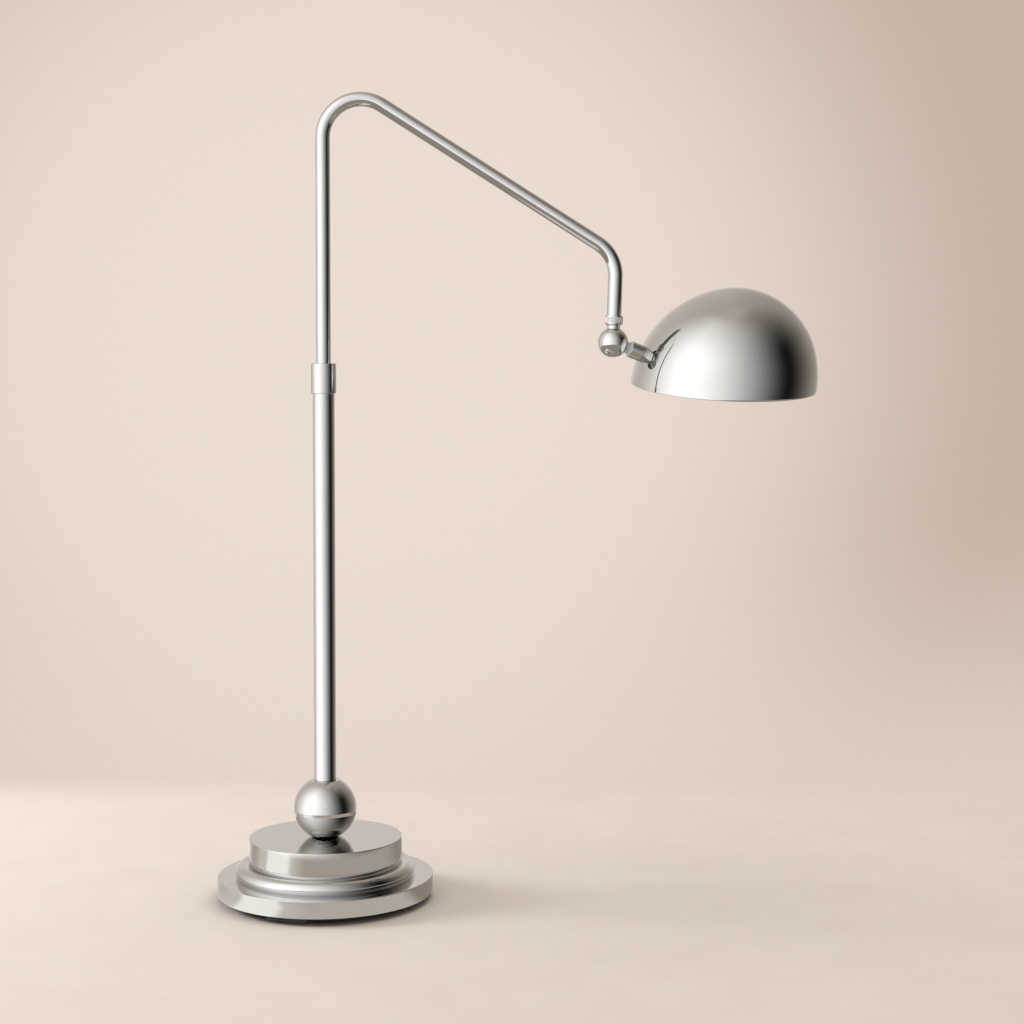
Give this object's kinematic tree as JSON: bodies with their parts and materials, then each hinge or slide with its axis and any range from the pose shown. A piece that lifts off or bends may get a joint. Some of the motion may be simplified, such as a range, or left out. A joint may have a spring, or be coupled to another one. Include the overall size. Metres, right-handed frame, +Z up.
{
  "type": "desk lamp",
  "caption": "Desk lamp: stepped round weighted base, telescopic post, bent swing arm and a dome shade on a ball knuckle.",
  "frame": {"origin": "on the table, under the centre line of the post, in the plane of the foot ring's underside", "axes": "+Z up along the post; +X the way the bent arm reaches; +Y towards the cord inlet at the back"},
  "size_m": [0.5242, 0.1985, 0.6974],
  "materials": {
    "polished_nickel": "mirror-polished nickel plate",
    "brass": "turned brass",
    "black_rubber": "matt moulded rubber",
    "zinc_steel": "zinc-plated steel",
    "spring_steel": "blued spring steel",
    "cast_iron": "raw casting",
    "ivory_nylon": "moulded nylon",
    "nickel_cup": "bright nickel plate",
    "white_insulator": "glossy moulded insulator",
    "bulb_base_metal": "pressed screw base",
    "bulb_glass": "frosted glass",
    "black_plastic": "satin moulded plastic"
  },
  "bodies": {
    "base": {"foot_ring": "black_rubber", "bottom_plate": "zinc_steel", "plate_screws": "zinc_steel", "base_weight": "cast_iron", "cord_grommet": "black_rubber", "lower_disc": "polished_nickel", "bead_ring": "polished_nickel", "upper_disc": "polished_nickel", "big_ball": "polished_nickel", "rod_washer": "brass", "rod_nut": "brass", "hollow_rod": "brass", "post_plug": "brass", "post": "polished_nickel", "guide_bush": "ivory_nylon", "collar": "polished_nickel", "grip_ring": "black_rubber"},
    "slider": {"slide_ring": "ivory_nylon"},
    "mast": {"mast_tube": "polished_nickel", "tube_clips": "spring_steel", "end_bush": "brass", "ferrule": "polished_nickel"},
    "knuckle": {"knuckle_ball": "polished_nickel", "spigot_clip": "spring_steel", "pivot_washers": "ivory_nylon", "pivot_screw": "polished_nickel"},
    "stem": {"stem_tongue": "zinc_steel", "barrel": "polished_nickel"},
    "head": {"saddle_washer": "polished_nickel", "shade": "polished_nickel", "shade_nipple": "brass", "shade_nut": "brass", "socket_cup": "nickel_cup", "cup_nut": "brass", "socket_insulator": "white_insulator", "centre_contact": "brass", "bulb_base": "bulb_base_metal", "bulb_glass": "bulb_glass"},
    "switch": {"switch_key": "black_plastic"}
  },
  "joints": [
    {"name": "height_slide", "type": "slide", "parent": "base", "child": "slider", "axis": [0, 0, 1], "range_m": [-0.17, 0.1]},
    {"name": "mast_swivel", "type": "hinge", "parent": "slider", "child": "mast", "pos_m": [0, 0, 0.46354], "axis": [0, 0, 1], "range_deg": [-170, 170]},
    {"name": "head_swing", "type": "hinge", "parent": "mast", "child": "knuckle", "pos_m": [0.25009, 0, 0.48133], "axis": [0.0366, 0, 0.9993], "range_deg": [-135, 105]},
    {"name": "head_tilt", "type": "hinge", "parent": "knuckle", "child": "stem", "pos_m": [0.25009, 0, 0.48133], "axis": [-0.2586, 0.9659, 0.0095], "range_deg": [-40, 65]},
    {"name": "shade_roll", "type": "hinge", "parent": "stem", "child": "head", "pos_m": [0.27525, 0.00683, 0.47167], "axis": [0.905, 0.2457, -0.3474], "range_deg": [-60, 60]},
    {"name": "switch_turn", "type": "hinge", "parent": "head", "child": "switch", "pos_m": [0.29253, 0.01153, 0.46504], "axis": [0.1974, -0.9657, -0.1689], "continuous": true}
  ]
}
